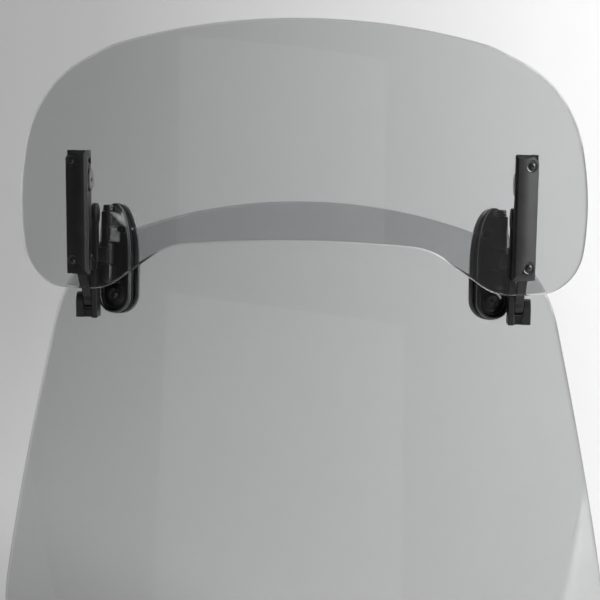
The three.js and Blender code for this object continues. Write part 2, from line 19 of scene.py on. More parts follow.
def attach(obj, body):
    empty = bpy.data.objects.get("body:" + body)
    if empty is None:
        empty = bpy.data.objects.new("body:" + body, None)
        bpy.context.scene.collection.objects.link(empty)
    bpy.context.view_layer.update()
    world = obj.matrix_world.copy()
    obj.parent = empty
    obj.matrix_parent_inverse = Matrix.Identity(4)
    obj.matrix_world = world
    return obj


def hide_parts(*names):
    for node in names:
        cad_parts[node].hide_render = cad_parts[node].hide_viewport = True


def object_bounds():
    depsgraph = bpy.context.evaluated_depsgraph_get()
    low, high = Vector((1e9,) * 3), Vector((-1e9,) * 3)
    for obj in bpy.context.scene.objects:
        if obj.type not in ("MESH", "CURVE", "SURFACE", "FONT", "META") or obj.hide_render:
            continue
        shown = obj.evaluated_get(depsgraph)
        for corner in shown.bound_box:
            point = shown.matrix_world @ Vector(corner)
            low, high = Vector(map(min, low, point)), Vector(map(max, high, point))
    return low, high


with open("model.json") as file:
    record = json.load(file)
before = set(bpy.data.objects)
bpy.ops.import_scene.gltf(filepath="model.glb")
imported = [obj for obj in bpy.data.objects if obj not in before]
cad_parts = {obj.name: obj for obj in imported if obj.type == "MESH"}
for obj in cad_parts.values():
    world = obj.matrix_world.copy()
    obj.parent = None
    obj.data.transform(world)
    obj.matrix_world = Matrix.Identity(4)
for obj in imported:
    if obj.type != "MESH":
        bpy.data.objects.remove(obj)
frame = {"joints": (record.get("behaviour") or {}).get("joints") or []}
cad_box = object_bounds()

# ---------- driving dimensions, in millimetres ----------
MM = 0.001
SCREEN_LEAN = 22
BLADE_LEAN = 14
BLADE_ORIGIN = (0, -50.5, -14.7)  # blade frame's origin in the screen frame
GAP = 0.3  # assembly gap between pieces

SCREEN = {"thickness": 4, "radius": 725, "flank_reach": 232, "flank_power": 4}
# half outlines from the top centre to the bottom centre: across, up, corner radius
SCREEN_CORNERS = [(0, 62.1, 320.4), (148.9, 6.8, 75.7), (208, -225, 68), (128, -352, 50), (0, -338, 400)]
BLADE = {"thickness": 3, "radius": 460}
BLADE_CORNERS = [
    (0, 162.6, 418.2), (106.2, 136.1, 54.4), (157.5, 112.9, 70.4), (169.5, 46.7, 153.9),
    (162.8, -1.5, 27.9), (112.6, -2.2, 32), (74.3, 24.4, 41.8), (0, 31.4, 670.4),
]
EDGE_ROUND = {"screen": 1.9, "blade": 1.4, "hole": 0.4}
FILL_SPACING = 5.0  # distance between the inner points of a sheet
FIXINGS = {"upper": (96, -262), "lower": (72, -322)}  # across and up on the screen
FIXING = {"hole": 5.2, "shank": 2.4, "head": 5.5, "rise": 3.2, "length": 14, "rim": 0.4}
FIXING_SOCKET = {"radius": 1.9, "below": 1.4}
WELL_NUT = {"sleeve": 4.8, "flange": 8, "flange_height": 2.5, "shoulder": 5.6, "length": 12.5}

SEAT = (113.7, 5.2)  # centre of a bracket base on the screen, across and up
BASE = {"width": 20.2, "length": 66.6, "back": 1.6, "rim": 6.4, "floor": 3.0, "wall": 1.9}
GASKET = {"width": 20.8, "length": 67.2, "thickness": 1}
BACKING = {"width": 24, "length": 67, "thickness": 2.5, "start": 4.5, "margin": 1.9, "edge": 1.1}
BASE_SCREWS = {"upper": (-5.9, 17, 2), "lower": (0, -22.6, 3.4)}  # across, up, head radius
BASE_SCREW = {"shank": 1.5, "top": 5.6, "bottom": 3.8, "tip": 8.6, "hole": 1.9, "sheet_hole": 2.4}
BARREL = {"across": 2, "out": 10.6, "radius": 3.9, "pin": 1.7, "bore": 2}
CAP = {"radius": 3.2, "height": 3.6}
BARREL_ENDS = {"top": 27.8, "upper": 9, "lower": -4.3, "bottom": -16}
HOOD = {"dome_start": 19, "dome_ring": 20, "ridge_top": 23}
# the dome's cross-sections: share of the base's outline, and distance forward
HOOD_RINGS = [(0.97, 2.6), (0.99, 4.6), (0.96, 6.2), (0.88, 7.6), (0.76, 8.8)]
BRIDGE = {"start": 115.4, "half_depth": 3.2, "bottom": 10.5, "top": 19}

LINK_Y = 50.3
RAIL_Y = 32.6
LINK_UPPER_Z = 36.5
RAIL_UPPER_Z = 60
PIVOT_SPACING = 48
PIVOTS = {"link_upper": (LINK_Y, LINK_UPPER_Z), "link_lower": (LINK_Y, LINK_UPPER_Z - PIVOT_SPACING),
          "rail_upper": (RAIL_Y, RAIL_UPPER_Z), "rail_lower": (RAIL_Y, RAIL_UPPER_Z - PIVOT_SPACING)}
PIVOT = {"pin": 2, "bore": 2.3, "eye": 5, "head": 3, "rise": 1.8}
PIVOT_SOCKET = {"radius": 1.4, "depth": 0.8}
RAIL_PIN = {"upper": 6.6, "lower": 5, "rise": 1.2, "reach": 1}
PLATE = {"start": 121.9, "end": 125.1, "disc": 6.6, "disc_rise": 2.5, "front": 4, "back": 2.8}
FORK = {"inner_end": 125.3, "outer": 131.1, "outer_end": 135.4, "front": 5, "back": 4.6}
FORK_FOOT = {"drop": 11.3, "height": 5}
CHEEK = {"front": 8, "rise": 18}
FORK_EYE = {"radius": 4.6, "drop": 0.9}
FORK_SLOT = {"start": 126.4, "end": 130.2, "depth": 1.6, "height": 4}
LEVER = {"start": 125.6, "end": 130.8, "web": 3.9, "rear_eye": 6}
LEVER_POCKET = {"half": 1.9, "depth": 0.8}
WASHER = {"radius": 4.6, "thickness": 1}
RAIL = {"start": 122.8, "end": 133.6, "wall": 2.4, "bottom": 6.8, "top": 77.1, "back": 38, "web": 27.2}
STRIP = {"across": 126.4, "width": 13.6, "bottom": 6.8, "top": 77.1, "flange": 2.6, "bulge": 4.6}
PAD = {"width": 10, "thickness": 1}
STRIP_SCREWS = {"upper": 71, "lower": 14.2}
STRIP_SCREW = {"across": 2, "shank": 1.4, "head": 3.3, "rise": 1.7, "length": 11, "hole": 1.8,
               "sheet_hole": 2.4}
STRIP_SOCKET = {"radius": 0.8, "depth": 0.7}
STRIP_FACET = 8.2  # height of the sloping facet at the strip's lower end

# ---------- studio, in metres and watts ----------
WORLD = {"left": 0.1, "right": 0.3}  # strength of the dim light from the room's two sides
PAINTED_SHADE_PAPER = {"left": 0.61, "right": 0.9}  # grey of the backdrop at its two sides; the darker left is painted shade for the light falling off away from the side softbox
BACKDROP = {"front": 3.0, "depth": 1.6, "height": 3.2, "bend": 0.8, "half": 3.5, "below": 0.002}
# place, aim, size and power of the area lights
LIGHTS = {
    "side_softbox": ((2.3, -0.3, 1.5), (0.1, 0.5, 0.2), (1.6, 1.8), 92),
    "front_softbox": ((-0.25, -2.0, 0.66), (0, 0, 0.3), (1.57, 0.82), 1.3),
}
# the camera, in the blade frame: degrees, millimetres, and a lens for a 36 mm sensor
CAMERA = {"aim": (1.94, 0, -4.04), "side": 3.28, "pitch": 7.71, "roll": 0.563, "away": 685.8, "lens": 73.97}


# ---------- local frames ----------
def pivot_place(name):
    return next(Vector(j["pos_m"]) for j in frame["joints"] if j["name"] == name)


def tilt(degrees):
    return Matrix.Rotation(math.radians(degrees), 4, "X")


def frame_matrices():
    """Matrices from the local frames, in millimetres, to the world in metres."""
    y, z = PIVOTS["link_lower"]
    pivot = pivot_place("right_lower_swing")
    origin = Vector((0, pivot.y, pivot.z)) - tilt(-BLADE_LEAN) @ Vector((0, y, z)) * MM
    blade = Matrix.Translation(origin) @ tilt(-BLADE_LEAN) @ Matrix.Scale(MM, 4)
    screen = blade @ (Matrix.Translation(BLADE_ORIGIN) @ tilt(SCREEN_LEAN - BLADE_LEAN)).inverted()
    return screen, blade


def on_sheet(matrix, section, across, up):
    x, y, yaw = section(across)
    return matrix @ Matrix.Translation((x, y, up)) @ Matrix.Rotation(yaw, 4, "Z")


def blade_section(across):
    yaw = across / BLADE["radius"]
    return BLADE["radius"] * math.sin(yaw), BLADE["radius"] * (1 - math.cos(yaw)), yaw


def screen_yaw(across):
    flank = abs(across / SCREEN["flank_reach"]) ** SCREEN["flank_power"]
    return across / SCREEN["radius"] + math.copysign(flank, across)


def screen_section(across):
    steps = max(2, math.ceil(abs(across) / 2))
    step = across / steps
    yaws = [screen_yaw((i + 0.5) * step) for i in range(steps)]
    x = sum(math.cos(yaw) for yaw in yaws) * step
    y = sum(math.sin(yaw) for yaw in yaws) * step
    return x, y, screen_yaw(across)


SCREEN_FRAME, BLADE_FRAME = frame_matrices()
SEAT_FRAME = on_sheet(SCREEN_FRAME, screen_section, *SEAT)
STRIP_SEAT = BLADE["radius"] * math.asin(STRIP["across"] / BLADE["radius"])
STRIP_FRAME = on_sheet(BLADE_FRAME, blade_section, STRIP_SEAT, 0)
SEAT_IN_BLADE = BLADE_FRAME.inverted() @ SEAT_FRAME


# ---------- materials ----------
def new_material(name):
    material = bpy.data.materials.new(name)
    material.use_nodes = True
    nodes = material.node_tree.nodes
    return material, nodes, material.node_tree.links, nodes["Principled BSDF"]


def noise(nodes, links, scale, detail=3.0, roughness=0.5, stretch=(1, 1, 1)):
    place = nodes.new("ShaderNodeTexCoord")
    mapping = nodes.new("ShaderNodeMapping")
    mapping.inputs["Scale"].default_value = stretch
    texture = nodes.new("ShaderNodeTexNoise")
    texture.inputs["Scale"].default_value = scale
    texture.inputs["Detail"].default_value = detail
    texture.inputs["Roughness"].default_value = roughness
    links.new(place.outputs["Object"], mapping.inputs["Vector"])
    links.new(mapping.outputs["Vector"], texture.inputs["Vector"])
    return texture.outputs["Fac"]


def spread(nodes, links, source, low, high, start=0.3, end=0.7):
    """The source, remapped so that start..end gives low..high."""
    node = nodes.new("ShaderNodeMapRange")
    node.inputs["From Min"].default_value = start
    node.inputs["From Max"].default_value = end
    node.inputs["To Min"].default_value = low
    node.inputs["To Max"].default_value = high
    links.new(source, node.inputs["Value"])
    return node.outputs["Result"]


def tint(nodes, links, source, dark, light):
    ramp = nodes.new("ShaderNodeValToRGB")
    ramp.color_ramp.elements[0].position = 0.3
    ramp.color_ramp.elements[1].position = 0.7
    ramp.color_ramp.elements[0].color = (*dark, 1)
    ramp.color_ramp.elements[1].color = (*light, 1)
    links.new(source, ramp.inputs["Fac"])
    return ramp.outputs["Color"]


def bump(nodes, links, shader, source, strength, distance):
    node = nodes.new("ShaderNodeBump")
    node.inputs["Strength"].default_value = strength
    node.inputs["Distance"].default_value = distance
    links.new(source, node.inputs["Height"])
    links.new(node.outputs["Normal"], shader.inputs["Normal"])


def acrylic(name, colour):
    material, nodes, links, shader = new_material(name)
    shader.inputs["Transmission Weight"].default_value = 1
    shader.inputs["IOR"].default_value = 1.49
    haze = noise(nodes, links, 9)
    links.new(spread(nodes, links, haze, 0.0, 0.012), shader.inputs["Roughness"])
    links.new(tint(nodes, links, haze, [c * 0.985 for c in colour], colour), shader.inputs["Base Color"])
    return material


def moulded_plastic(name, roughness, grain, shine=0.5):
    material, nodes, links, shader = new_material(name)
    shader.inputs["Specular IOR Level"].default_value = shine
    patches = noise(nodes, links, 90, 5, 0.6)
    colour = tint(nodes, links, patches, (0.008, 0.008, 0.009), (0.016, 0.016, 0.017))
    links.new(colour, shader.inputs["Base Color"])
    links.new(spread(nodes, links, patches, roughness - 0.06, roughness + 0.08), shader.inputs["Roughness"])
    bump(nodes, links, shader, noise(nodes, links, 2600, 2), grain, 0.00006)
    return material


def dark_steel():
    material, nodes, links, shader = new_material("black_oxide_steel")
    patches = noise(nodes, links, 260, 5, 0.65)
    colour = tint(nodes, links, patches, (0.02, 0.02, 0.022), (0.05, 0.05, 0.054))
    links.new(colour, shader.inputs["Base Color"])
    shader.inputs["Metallic"].default_value = 0.6
    shader.inputs["Coat Weight"].default_value = 0.7
    shader.inputs["Coat Roughness"].default_value = 0.12
    links.new(spread(nodes, links, patches, 0.24, 0.42), shader.inputs["Roughness"])
    bump(nodes, links, shader, noise(nodes, links, 3000, 2), 0.12, 0.00004)
    return material


def pale_steel(name, metallic, roughness):
    material, nodes, links, shader = new_material(name)
    lines = noise(nodes, links, 900, 4, 0.6, (1, 12, 1))
    colour = tint(nodes, links, lines, (0.33, 0.33, 0.34), (0.5, 0.5, 0.51))
    links.new(colour, shader.inputs["Base Color"])
    shader.inputs["Metallic"].default_value = metallic
    links.new(spread(nodes, links, lines, roughness, roughness + 0.16), shader.inputs["Roughness"])
    bump(nodes, links, shader, lines, 0.1, 0.00003)
    return material


def rubber():
    material, nodes, links, shader = new_material("soft_rubber")
    patches = noise(nodes, links, 140, 6, 0.7)
    colour = tint(nodes, links, patches, (0.01, 0.01, 0.01), (0.02, 0.02, 0.02))
    links.new(colour, shader.inputs["Base Color"])
    links.new(spread(nodes, links, patches, 0.62, 0.82), shader.inputs["Roughness"])
    bump(nodes, links, shader, noise(nodes, links, 1800, 3), 0.3, 0.00008)
    return material


MATERIALS = {
    "smoked_acrylic": acrylic("smoked_acrylic", (0.6, 0.605, 0.61)),
    "black_plastic": moulded_plastic("satin_black_plastic", 0.42, 0.2),
    "gloss_plastic": moulded_plastic("gloss_black_plastic", 0.2, 0.03, 0.6),
    "black_steel": dark_steel(),
    "bright_steel": pale_steel("turned_steel", 1, 0.2),
    "satin_steel": pale_steel("satin_steel", 0.6, 0.4),
    "rubber": rubber(),
}


# ---------- mesh tools ----------
def mesh_of(verts, faces):
    mesh = bpy.data.meshes.new("work")
    mesh.from_pydata([tuple(v) for v in verts], [], faces)
    tidy_mesh(mesh)
    return mesh


def tidy_mesh(mesh):
    bm = bmesh.new()
    bm.from_mesh(mesh)
    bmesh.ops.remove_doubles(bm, verts=bm.verts, dist=1e-4)
    bmesh.ops.recalc_face_normals(bm, faces=bm.faces)
    bm.to_mesh(mesh)
    bm.free()


def together(*meshes):
    bm = bmesh.new()
    for mesh in meshes:
        bm.from_mesh(mesh)
    joined = bpy.data.meshes.new("work")
    bm.to_mesh(joined)
    bm.free()
    return joined


def modified(mesh, *modifiers):
    """The mesh after modifiers, each given as (kind, settings)."""
    work = bpy.data.objects.new("work", mesh)
    bpy.context.scene.collection.objects.link(work)
    for kind, settings in modifiers:
        modifier = work.modifiers.new(kind, kind)
        for key, value in settings.items():
            setattr(modifier, key, value)
    graph = bpy.context.evaluated_depsgraph_get()
    result = bpy.data.meshes.new_from_object(work.evaluated_get(graph), depsgraph=graph)
    bpy.data.objects.remove(work)
    return result


def carved(mesh, *tools):
    """The mesh less every tool."""
    cutter = bpy.data.objects.new("cutter", together(*tools))
    bpy.context.scene.collection.objects.link(cutter)
    result = modified(mesh, ("BOOLEAN", {"operation": "DIFFERENCE", "solver": "EXACT", "object": cutter,
                                         "use_self": True}))
    bpy.data.objects.remove(cutter)
    return result


def moulded(voxel, smoothing, *meshes):
    """Closed shapes joined into one moulded body with soft fillets."""
    settings = {"mode": "VOXEL", "voxel_size": voxel, "adaptivity": 0.0}
    return modified(together(*meshes), ("REMESH", settings),
                    ("SMOOTH", {"factor": 0.5, "iterations": smoothing}))


def moved(mesh, matrix):
    mesh.transform(matrix)
    return mesh


def fillet(points, radius, steps=4):
    """A polyline with each inner corner rounded, as far as its neighbours leave room."""
    out = [points[0]]
    for before, corner, after in zip(points, points[1:], points[2:]):
        corner = Vector(corner)
        a, b = Vector(before) - corner, Vector(after) - corner
        if min(a.length, b.length) < 1e-6 or a.angle(b) > 3.0:
            out.append(tuple(corner))
            continue
        half = a.angle(b) / 2
        reach = min(radius / math.tan(half), a.length * 0.45, b.length * 0.45)
        start, end = corner + a.normalized() * reach, corner + b.normalized() * reach
        for k in range(steps + 1):
            t = k / steps
            out.append(tuple(start * (1 - t) ** 2 + corner * 2 * t * (1 - t) + end * t * t))
    return out + [points[-1]]


def lathe(profile, segments=48):
    """Turned piece on the -y axis.

    The profile is [(radius, distance forward)], and it ends at the axis or closes on itself.
    """
    closed = profile[0] == profile[-1]
    points = profile[:-1] if closed else profile
    verts = []
    for i in range(segments):
        angle = 2 * math.pi * i / segments
        verts += [(r * math.cos(angle), -forward, r * math.sin(angle)) for r, forward in points]
    count = len(points)
    faces = []
    for i in range(segments):
        here, there = i * count, (i + 1) % segments * count
        for j in range(count if closed else count - 1):
            k = (j + 1) % count
            faces.append((here + j, here + k, there + k, there + j))
    return mesh_of(verts, faces)


def bar(axis, radius, start, end, a, b, edge=0.35, segments=48):
    """Round bar along an axis from start to end, centred at (a, b) on the other two axes."""
    profile = fillet([(0, -start), (radius, -start), (radius, -end), (0, -end)], edge)
    mesh = lathe(profile, segments)
    turns = {"x": Matrix.Rotation(-math.pi / 2, 4, "Z"), "y": Matrix(),
             "z": Matrix.Rotation(math.pi / 2, 4, "X")}
    shift = {"x": (0, a, b), "y": (a, 0, b), "z": (a, b, 0)}[axis]
    return moved(mesh, Matrix.Translation(shift) @ turns[axis])


def block(x0, x1, y0, y1, z0, z1, edge=0.0):
    bm = bmesh.new()
    bmesh.ops.create_cube(bm, size=1)
    bmesh.ops.scale(bm, vec=(x1 - x0, y1 - y0, z1 - z0), verts=bm.verts)
    bmesh.ops.translate(bm, vec=((x0 + x1) / 2, (y0 + y1) / 2, (z0 + z1) / 2), verts=bm.verts)
    if edge:
        bmesh.ops.bevel(bm, geom=bm.edges[:], offset=edge, segments=3, profile=0.5, affect="EDGES")
    mesh = bpy.data.meshes.new("work")
    bm.to_mesh(mesh)
    bm.free()
    return mesh


def prism(points, z0, z1, edge):
    """Closed outline in x and y, pulled up from z0 to z1, with its edges rounded."""
    bm = bmesh.new()
    face = bm.faces.new([bm.verts.new((x, y, z0)) for x, y in points])
    raised = bmesh.ops.extrude_face_region(bm, geom=[face])["geom"]
    top = [v for v in raised if isinstance(v, bmesh.types.BMVert)]
    bmesh.ops.translate(bm, vec=(0, 0, z1 - z0), verts=top)
    bmesh.ops.recalc_face_normals(bm, faces=bm.faces)
    sharp = [e for e in bm.edges if e.calc_face_angle(0) > math.radians(30)]
    bmesh.ops.bevel(bm, geom=sharp, offset=edge, segments=3, profile=0.5, affect="EDGES")
    mesh = bpy.data.meshes.new("work")
    bm.to_mesh(mesh)
    bm.free()
    return mesh


def pad(width, length, profile, arc_steps=40):
    """Upright pad facing -y, from rings of (inset, distance forward), back to front.

    Its upper half is a long half ellipse and its lower end is round.
    """
    low = width / 2 - length / 2
    upper = [math.pi * k / arc_steps for k in range(arc_steps + 1)]
    verts, faces = [], []
    for inset, forward in profile:
        across, up = width / 2 - inset, length / 2 - inset
        verts += [(across * math.cos(a), -forward, up * math.sin(a)) for a in upper]
        verts += [(-across * math.cos(a), -forward, low - across * math.sin(a)) for a in upper]
    count = 2 * len(upper)
    for ring in range(len(profile) - 1):
        for i in range(count):
            j = (i + 1) % count
            here, there = ring * count, (ring + 1) * count
            faces.append((here + i, here + j, there + j, there + i))
    faces.append(tuple(range(count)))
    faces.append(tuple(range((len(profile) - 1) * count, len(profile) * count)))
    return mesh_of(verts, faces)


def hull(points):
    bm = bmesh.new()
    for point in points:
        bm.verts.new(point)
    result = bmesh.ops.convex_hull(bm, input=bm.verts)
    spare = result["geom_interior"] + result["geom_unused"]
    extra = {g for g in spare if isinstance(g, bmesh.types.BMVert)}
    bmesh.ops.delete(bm, geom=list(extra), context="VERTS")
    bmesh.ops.recalc_face_normals(bm, faces=bm.faces)
    mesh = bpy.data.meshes.new("work")
    bm.to_mesh(mesh)
    bm.free()
    return mesh


def hexagon(radius, y0, y1, x, z):
    """Six-sided socket tool along y."""
    angles = [math.pi * k / 3 for k in range(6)]
    ring = [(x + radius * math.cos(a), z + radius * math.sin(a)) for a in angles]
    verts = [(px, y, pz) for y in (y0, y1) for px, pz in ring]
    faces = [tuple(range(6)), tuple(range(6, 12))]
    faces += [(k, (k + 1) % 6, 6 + (k + 1) % 6, 6 + k) for k in range(6)]
    return mesh_of(verts, faces)


# ---------- placing pieces ----------
def shade(mesh, angle):
    for polygon in mesh.polygons:
        polygon.use_smooth = True
    mesh.set_sharp_from_angle(angle=math.radians(angle))


def place(name, mesh, matrix, look, body, smooth=38):
    mesh = mesh.copy()
    mesh.transform(matrix)
    if matrix.determinant() < 0:
        mesh.flip_normals()
    shade(mesh, smooth)
    mesh.name = name
    mesh.materials.clear()
    mesh.materials.append(MATERIALS[look])
    piece = bpy.data.objects.new(name, mesh)
    bpy.context.scene.collection.objects.link(piece)
    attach(piece, body)
    return piece


MIRROR = Matrix.Scale(-1, 4, (1, 0, 0))


def pair(node, mesh, matrix, look, bodies="root", smooth=38):
    """The piece on the right side and its mirror image on the left, each replacing its CAD node."""
    for side, turned in (("right", matrix), ("left", MIRROR @ matrix)):
        body = f"{side}_{bodies}" if bodies.endswith("lever") else bodies
        piece = place(f"{side}_{node}_finish", mesh, turned, look, body, smooth)
        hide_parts(f"{side}_{node}")


# ---------- curved sheets ----------
def sheet_outline(corners, arc_steps=14, longest=6.0):
    """Closed outline with rounded corners, as (across, up, outward across, outward up)."""
    return outward(spaced(corner_arcs(corners, arc_steps, longest), longest))


def corner_arcs(corners, arc_steps, longest):
    left = [(-x, z, r) for x, z, r in corners[1:-1]]
    ring = [*corners, *reversed(left)]
    out = []
    for i, (x, z, radius) in enumerate(ring):
        corner = Vector((x, z))
        before = (Vector(ring[i - 1][:2]) - corner).normalized()
        after = (Vector(ring[(i + 1) % len(ring)][:2]) - corner).normalized()
        half = before.angle(after) / 2
        centre = corner + (before + after).normalized() * radius / math.sin(half)
        start = corner + before * radius / math.tan(half) - centre
        end = corner + after * radius / math.tan(half) - centre
        turn = start.angle_signed(end)
        steps = max(arc_steps, math.ceil(abs(turn) * radius / longest))
        for k in range(steps + 1):
            arm = Matrix.Rotation(-turn * k / steps, 2) @ start
            out.append((centre.x + arm.x, centre.y + arm.y))
    return out


def spaced(outline, longest):
    """The outline with straight stretches divided, and doubled points left out."""
    out = []
    for here, there in zip(outline, outline[1:] + outline[:1]):
        gap = math.dist(here, there)
        if gap < 0.02:
            continue
        steps = max(1, math.ceil(gap / longest))
        for k in range(steps):
            t = k / steps
            out.append(tuple(a + (b - a) * t for a, b in zip(here, there)))
    return out


def outward(points):
    """The points with the direction out of the loop, taken across their neighbours."""
    out = []
    area = sum(a[0] * b[1] - b[0] * a[1] for a, b in zip(points, points[1:] + points[:1]))
    sign = math.copysign(1, area)
    for before, here, after in zip(points[-1:] + points[:-1], points, points[1:] + points[:1]):
        along = (Vector(after) - Vector(before)).normalized() * sign
        out.append((*here, along.y, -along.x))
    return out


def hole_outline(across, up, radius, count=28):
    """A round hole, whose outward direction points into it."""
    angles = [2 * math.pi * k / count for k in range(count)]
    return [(across + radius * math.cos(a), up + radius * math.sin(a), -math.cos(a), -math.sin(a))
            for a in angles]


def edge_profile(thickness, rounding, steps=5):
    """Polished sheet edge as (inset, depth, angle of the normal from the front)."""
    front = [(rounding * (1 - math.sin(a)), rounding * (1 - math.cos(a)), a)
             for a in (math.pi / 2 * k / steps for k in range(steps + 1))]
    back = [(inset, thickness - depth, math.pi - a) for inset, depth, a in reversed(front)]
    return front + back


def sheet_fill(loops, spacing):
    """Triangles between the outer loop and the holes, with points inside at the spacing."""
    points, edges = [], []
    for loop in loops:
        first = len(points)
        points += [Vector(p) for p in loop]
        edges += [(first + k, first + (k + 1) % len(loop)) for k in range(len(loop))]
    outer = np.array(loops[0])
    low, high = outer.min(0), outer.max(0)
    reach = max(abs(low[0]), abs(high[0]))
    columns = np.arange(-math.floor(reach / spacing), math.floor(reach / spacing) + 1) * spacing
    rows = np.arange(low[1], high[1], spacing * 2)
    for x in columns:
        for z in rows:
            if inside(x, z, loops, spacing * 0.45):
                points.append(Vector((x, z)))
    verts, _, faces, *_ = delaunay_2d_cdt(points, edges, [], 2, 1e-5)
    return verts, [f for f in faces if in_sheet(verts, f, loops)]


def within(x, z, loop):
    crossed = False
    for (x0, z0), (x1, z1) in zip(loop, loop[1:] + loop[:1]):
        if (z0 > z) != (z1 > z) and x < x0 + (z - z0) / (z1 - z0) * (x1 - x0):
            crossed = not crossed
    return crossed


def nearest(x, z, loop):
    ring = np.array(loop)
    return np.hypot(ring[:, 0] - x, ring[:, 1] - z).min()


def inside(x, z, loops, margin):
    if not within(x, z, loops[0]) or nearest(x, z, loops[0]) < margin:
        return False
    return all(not within(x, z, loop) and nearest(x, z, loop) > margin for loop in loops[1:])


def in_sheet(verts, face, loops):
    x = sum(verts[i].x for i in face) / len(face)
    z = sum(verts[i].y for i in face) / len(face)
    return within(x, z, loops[0]) and not any(within(x, z, loop) for loop in loops[1:])


def curved_sheet(name, corners, section, thickness, rounding, holes, matrix, body, node):
    """Sheet bent along its section, with polished edges, round holes and true normals."""
    outlines = [sheet_outline(corners), *holes]
    profile = edge_profile(thickness, rounding)
    hole_round = EDGE_ROUND["hole"]
    hole_profile = edge_profile(thickness, hole_round, 2)
    insets = [rounding] + [hole_round] * len(holes)
    inner = [[(a - na * inset, u - nu * inset) for a, u, na, nu in loop]
             for loop, inset in zip(outlines, insets)]
    flat, fill = sheet_fill(inner, FILL_SPACING)
    verts, normals, faces = [], [], []

    def add(across, up, depth, out_across, out_up, lean):
        x, y, yaw = section(across)
        along = Vector((math.cos(yaw), math.sin(yaw), 0))
        front = Vector((math.sin(yaw), -math.cos(yaw), 0))
        verts.append(Vector((x, y, up)) - front * depth)
        side = along * out_across + Vector((0, 0, out_up))
        normals.append(front * math.cos(lean) + side * math.sin(lean))
        return len(verts) - 1

    for depth, lean, flip in ((0, 0, False), (thickness, math.pi, True)):
        first = len(verts)
        for v in flat:
            add(v.x, v.y, depth, 0, 0, lean)
        faces += [tuple(first + i for i in (reversed(f) if flip else f)) for f in fill]
    for outline, rings in zip(outlines, [profile] + [hole_profile] * len(holes)):
        start = len(verts)
        for inset, depth, lean in rings:
            for a, u, na, nu in outline:
                add(a - na * inset, u - nu * inset, depth, na, nu, lean)
        count = len(outline)
        for ring in range(len(rings) - 1):
            for i in range(count):
                j = (i + 1) % count
                here, there = start + ring * count, start + (ring + 1) * count
                faces.append((here + i, here + j, there + j, there + i))
    mesh = bpy.data.meshes.new(name)
    mesh.from_pydata([tuple(v) for v in verts], [], faces)
    bm = bmesh.new()
    bm.from_mesh(mesh)
    mark = bm.verts.layers.int.new("source")
    for i, v in enumerate(bm.verts):
        v[mark] = i
    bmesh.ops.remove_doubles(bm, verts=bm.verts, dist=1e-3)
    bmesh.ops.recalc_face_normals(bm, faces=bm.faces)
    bm.verts.ensure_lookup_table()
    sources = [v[mark] for v in bm.verts]
    bm.verts.layers.int.remove(mark)
    bm.to_mesh(mesh)
    bm.free()
    mesh.transform(matrix)
    for polygon in mesh.polygons:
        polygon.use_smooth = True
    turn = matrix.to_3x3().normalized()
    mesh.normals_split_custom_set_from_vertices([tuple((turn @ normals[i]).normalized()) for i in sources])
    mesh.materials.append(MATERIALS["smoked_acrylic"])
    piece = bpy.data.objects.new(name, mesh)
    bpy.context.scene.collection.objects.link(piece)
    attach(piece, body)
    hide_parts(node)


def screen_holes():
    holes = []
    for side in (-1, 1):
        for across, up in FIXINGS.values():
            holes.append(hole_outline(side * across, up, FIXING["hole"]))
        for across, up, _ in BASE_SCREWS.values():
            holes.append(hole_outline(side * (SEAT[0] + across), SEAT[1] + up, BASE_SCREW["sheet_hole"]))
    return holes


def blade_holes():
    across = STRIP_SEAT + STRIP_SCREW["across"]
    return [hole_outline(side * across, up, STRIP_SCREW["sheet_hole"]) for side in (-1, 1)
            for up in STRIP_SCREWS.values()]


def add_sheets():
    curved_sheet("windshield_finish", SCREEN_CORNERS, screen_section, SCREEN["thickness"],
                 EDGE_ROUND["screen"], screen_holes(), SCREEN_FRAME, "root", "windshield")
    curved_sheet("spoiler_blade_finish", BLADE_CORNERS, blade_section, BLADE["thickness"],
                 EDGE_ROUND["blade"], blade_holes(), BLADE_FRAME, "spoiler", "spoiler_blade")


# ---------- fairing fixings ----------
def dome_curve(radius, low, rise, steps):
    """Quarter ellipse from the top of a screw head to its rim, as a turned profile."""
    angles = np.linspace(0, math.pi / 2, steps)
    return [(0, low + rise), *[(radius * math.sin(a), low + rise * math.cos(a)) for a in angles[1:]]]


def socketed(profile, edge, depth, socket, x=0.0, z=0.0):
    """Turned screw on the -y axis with a hexagon socket in its front end."""
    top = profile[0][1]
    body = moved(lathe(fillet(profile, edge)), Matrix.Translation((x, 0, z)))
    return carved(body, hexagon(socket, -top - 1, depth - top, x, z))


def fairing_screw():
    head, shank, length, rise = FIXING["head"], FIXING["shank"], FIXING["length"], FIXING["rise"]
    dome = dome_curve(head, GAP + FIXING["rim"], rise - FIXING["rim"], 12)
    profile = [*dome, (head, GAP), (shank, GAP), (shank, -length), (0, -length)]
    socket = hexagon(FIXING_SOCKET["radius"], -rise - 2, -rise + FIXING_SOCKET["below"], 0, 0)
    return carved(lathe(profile), socket)


def well_nut():
    bore, end = FIXING["shank"] + GAP, -WELL_NUT["length"]
    sleeve, flange = WELL_NUT["sleeve"], WELL_NUT["flange"]
    start = -SCREEN["thickness"] - GAP
    back = start - WELL_NUT["flange_height"]
    profile = [(bore, -1), (sleeve, -1), (sleeve, start), (flange, start), (flange, back),
               (WELL_NUT["shoulder"], back), (sleeve, end), (bore, end), (bore, -1)]
    return lathe([*fillet(profile, 0.5)[:-1], profile[0]])


def add_fixings():
    screw, nut = fairing_screw(), well_nut()
    for name, (across, up) in FIXINGS.items():
        matrix = on_sheet(SCREEN_FRAME, screen_section, across, up)
        pair(f"fairing_screw_{name}", screw, matrix, "black_steel")
        pair(f"well_nut_{name}", nut, matrix, "rubber")


